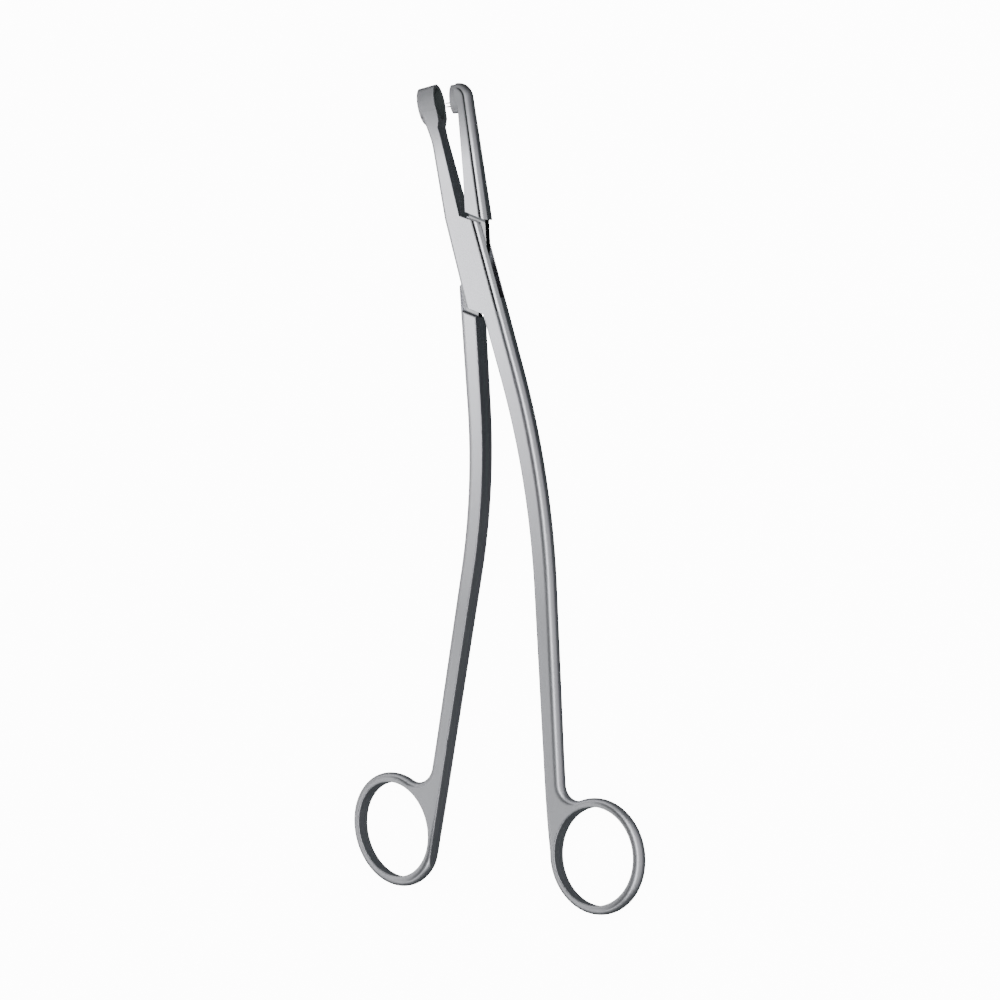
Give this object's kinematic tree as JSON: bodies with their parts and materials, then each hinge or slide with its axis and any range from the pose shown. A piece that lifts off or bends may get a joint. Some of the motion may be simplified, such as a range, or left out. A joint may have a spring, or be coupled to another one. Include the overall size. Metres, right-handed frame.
{
  "type": "biopsy forceps",
  "caption": "Hand-held punch forceps with a box lock, two finger rings, a cutting ring jaw and a hooded cup jaw that closes into it to bite out a tissue sample.",
  "frame": {"origin": "on the hinge axis of the box lock, at the rear face of the lock, which is the face it lies on", "axes": "+Y towards the jaws, +X towards the wearer's right seen from the front, +Z out of the front face along the hinge axis"},
  "size_m": [0.1013, 0.2395, 0.0055],
  "materials": {
    "box_lock": "satin, fine grain",
    "lock_tongue": "satin, fine grain",
    "lock_pin": "polished",
    "punch_ring_jaw": "satin, fine grain",
    "bite_cup_jaw": "satin, fine grain",
    "upper_tissue_spike": "polished",
    "lower_tissue_spike": "polished",
    "box_half_shank": "satin, fine grain",
    "tongue_half_shank": "satin, fine grain",
    "box_half_finger_ring": "satin, fine grain",
    "tongue_half_finger_ring": "satin, fine grain"
  },
  "bodies": {
    "box_half": {"punch_ring_jaw": "punch_ring_jaw", "box_lock": "box_lock", "box_half_shank": "box_half_shank", "box_half_finger_ring": "box_half_finger_ring", "lock_pin": "lock_pin"},
    "tongue_half": {"bite_cup_jaw": "bite_cup_jaw", "lock_tongue": "lock_tongue", "tongue_half_shank": "tongue_half_shank", "tongue_half_finger_ring": "tongue_half_finger_ring", "upper_tissue_spike": "upper_tissue_spike", "lower_tissue_spike": "lower_tissue_spike"}
  },
  "joints": [
    {"name": "jaw_pivot", "type": "hinge", "parent": "box_half", "child": "tongue_half", "pos_m": [0, 0, 0.00275], "axis": [0, 0, -1], "range_deg": [-7.6, 16]}
  ]
}
